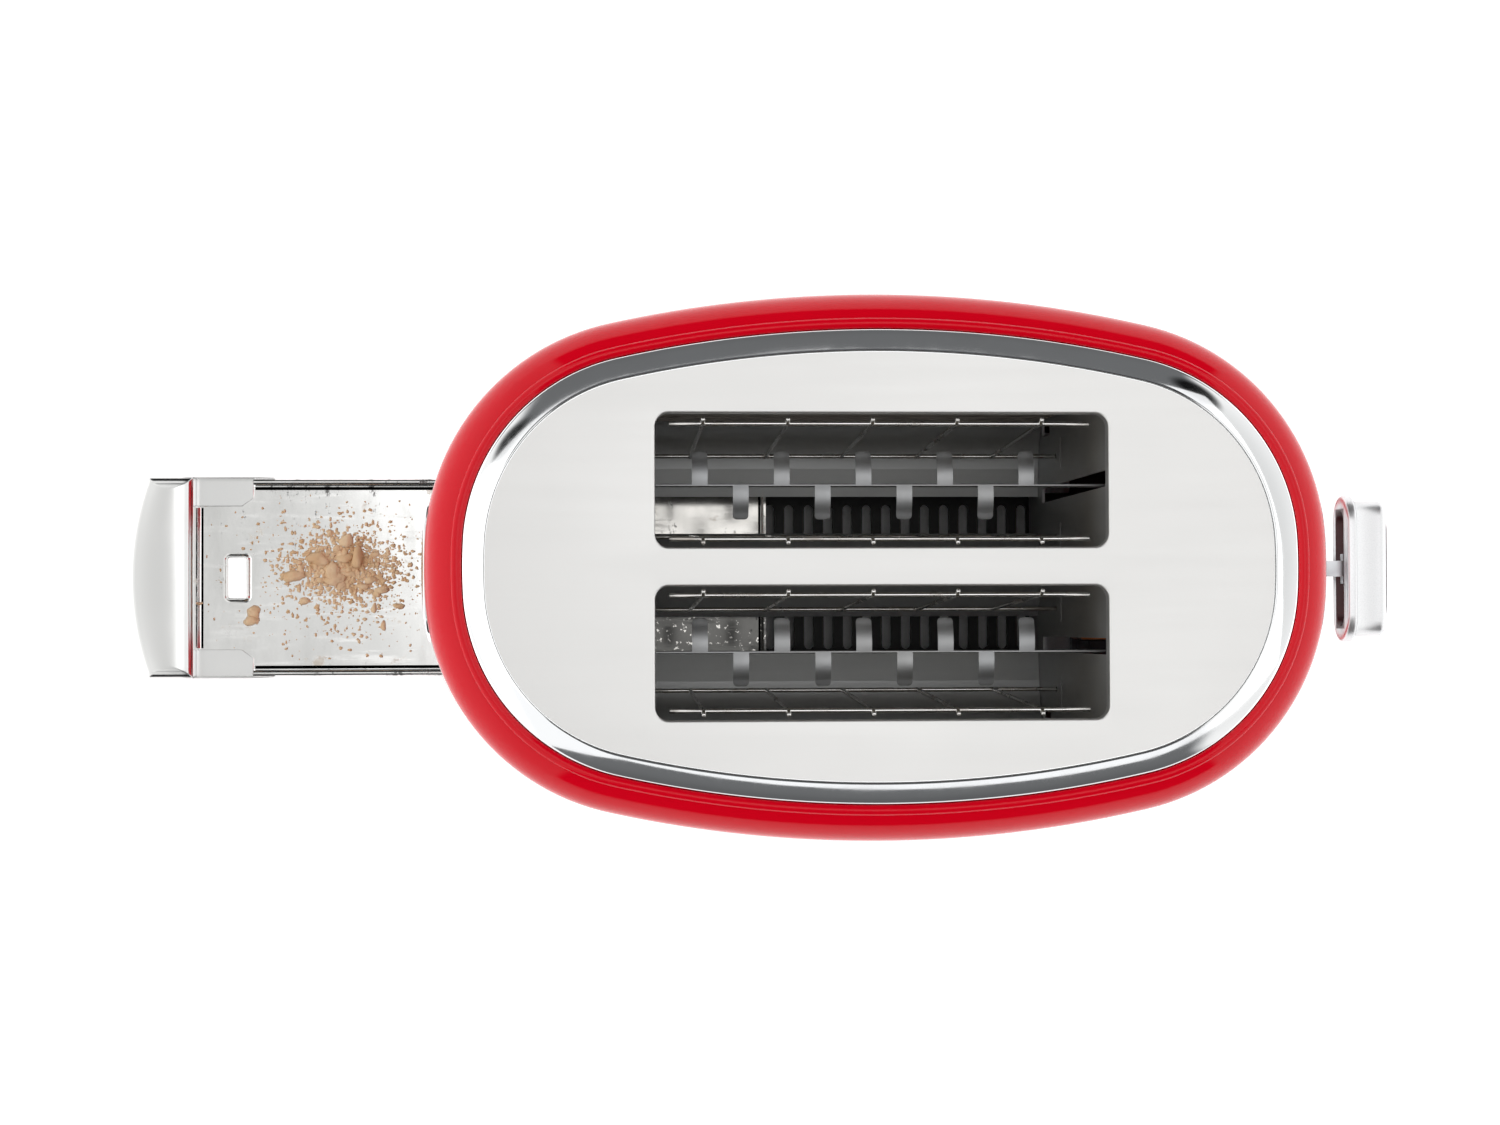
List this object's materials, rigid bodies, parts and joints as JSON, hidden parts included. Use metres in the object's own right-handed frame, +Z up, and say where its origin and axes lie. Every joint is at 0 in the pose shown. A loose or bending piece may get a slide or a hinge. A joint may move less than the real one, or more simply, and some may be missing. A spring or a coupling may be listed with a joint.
{
  "type": "pop up toaster",
  "caption": "Pop-up toaster with a bulged oval enamel body, long bread slots side by side, wire guards, a lever with a stadium knob, and a crumb tray drawn out at one end.",
  "frame": {"origin": "on the table, under the middle of the body (the middle of the rubber feet's plane)", "axes": "+X towards the lever end, -X where the crumb tray draws out, +Y across the slots, +Z up"},
  "size_m": [0.4096, 0.1674, 0.1963],
  "materials": {
    "black_plastic": "fine moulded grain",
    "bright_rod": "ground",
    "bush_brass": "turned",
    "circuit_board": "brown paper laminate",
    "copper_winding": "enamelled copper",
    "core_iron": "laminated",
    "foot_rubber": "matte",
    "guard_wire": "drawn wire",
    "mica": "layered mica",
    "oven_sheet": "heat-toned aluminised sheet",
    "polished_chrome": "polished",
    "rack_steel": "heat-toned",
    "red_enamel": "deep gloss enamel on pressed steel",
    "ribbon_alloy": "oxidised resistance alloy",
    "satin_plate": "fine satin",
    "silver_plastic": "satin silver",
    "spring_wire": "drawn wire",
    "tray_chrome": "bright, smudged and scuffed",
    "white_plastic": "glazed",
    "zinc_steel": "zinc plated"
  },
  "bodies": {
    "root": {"base_pan": "black_plastic", "base_screws": "zinc_steel", "board_components": "black_plastic", "body_shell": "red_enamel", "bulkhead_lever_end": "oven_sheet", "bulkhead_tray_end": "oven_sheet", "button_switches": "black_plastic", "control_board": "circuit_board", "control_panel": "polished_chrome", "cord_grommet": "foot_rubber", "crumb_ridge": "oven_sheet", "dial_potentiometer": "zinc_steel", "foot_pads": "foot_rubber", "guide_rod": "bright_rod", "heater_card_far": "mica", "heater_card_middle": "mica", "heater_card_near": "mica", "heater_ribbon_far": "ribbon_alloy", "heater_ribbon_middle": "ribbon_alloy", "heater_ribbon_near": "ribbon_alloy", "lift_spring": "spring_wire", "magnet_bracket": "zinc_steel", "magnet_coil": "copper_winding", "magnet_core": "core_iron", "rear_trim": "polished_chrome", "reflector_far": "oven_sheet", "reflector_near": "oven_sheet", "rod_bracket": "zinc_steel", "terminal_block": "white_plastic", "top_bezel": "polished_chrome", "top_plate": "satin_plate", "tray_rail_far": "zinc_steel", "tray_rail_near": "zinc_steel"},
    "tray": {"crumb_pan": "tray_chrome", "tray_handle": "tray_chrome"},
    "carriage": {"carriage_bracket": "zinc_steel", "carriage_bush": "bush_brass", "armature_plate": "core_iron", "lever_arm": "zinc_steel", "lever_knob": "silver_plastic", "bread_rack_near": "rack_steel", "bread_rack_far": "rack_steel"},
    "dial": {"browning_dial": "silver_plastic"},
    "cancel": {"cancel_button": "silver_plastic"},
    "reheat": {"reheat_button": "silver_plastic"},
    "defrost": {"defrost_button": "silver_plastic"},
    "guard_body_near_outer": {"guard_near_outer": "guard_wire"},
    "guard_body_near_inner": {"guard_near_inner": "guard_wire"},
    "guard_body_far_outer": {"guard_far_outer": "guard_wire"},
    "guard_body_far_inner": {"guard_far_inner": "guard_wire"}
  },
  "joints": [
    {"name": "tray_slide", "type": "slide", "parent": "root", "child": "tray", "axis": [-1, 0, 0], "range_m": [-0.106, 0.13]},
    {"name": "lever_slide", "type": "slide", "parent": "root", "child": "carriage", "axis": [0, 0, 1], "range_m": [-0.066, 0], "stiffness_N_per_m": 90, "springref_m": 0.035, "deforming": ["lift_spring"]},
    {"name": "dial_turn", "type": "hinge", "parent": "root", "child": "dial", "pos_m": [0.14, 0, 0.036], "axis": [1, 0, 0], "range_deg": [-135, 135]},
    {"name": "cancel_press", "type": "slide", "parent": "root", "child": "cancel", "axis": [-1, 0, 0], "range_m": [0, 0.0016], "stiffness_N_per_m": 900, "springref_m": -0.001},
    {"name": "reheat_press", "type": "slide", "parent": "root", "child": "reheat", "axis": [-1, 0, 0], "range_m": [0, 0.0016], "stiffness_N_per_m": 900, "springref_m": -0.001},
    {"name": "defrost_press", "type": "slide", "parent": "root", "child": "defrost", "axis": [-1, 0, 0], "range_m": [0, 0.0016], "stiffness_N_per_m": 900, "springref_m": -0.001},
    {"name": "guard_near_outer_tilt", "type": "hinge", "parent": "root", "child": "guard_body_near_outer", "pos_m": [0, -0.0388, 0.085], "axis": [1, 0, 0], "range_deg": [-5.01, 0]},
    {"name": "guard_near_inner_tilt", "type": "hinge", "parent": "root", "child": "guard_body_near_inner", "pos_m": [0, -0.012, 0.085], "axis": [1, 0, 0], "range_deg": [0, 5.01]},
    {"name": "guard_far_outer_tilt", "type": "hinge", "parent": "root", "child": "guard_body_far_outer", "pos_m": [0, 0.0388, 0.085], "axis": [1, 0, 0], "range_deg": [0, 5.01]},
    {"name": "guard_far_inner_tilt", "type": "hinge", "parent": "root", "child": "guard_body_far_inner", "pos_m": [0, 0.012, 0.085], "axis": [1, 0, 0], "range_deg": [-5.01, 0]}
  ],
  "couplings": [
    {"joint": "guard_near_outer_tilt", "follows": "lever_slide", "rad_per_m": 1.3222},
    {"joint": "guard_near_inner_tilt", "follows": "lever_slide", "rad_per_m": -1.3222},
    {"joint": "guard_far_outer_tilt", "follows": "lever_slide", "rad_per_m": -1.3222},
    {"joint": "guard_far_inner_tilt", "follows": "lever_slide", "rad_per_m": 1.3222}
  ]
}
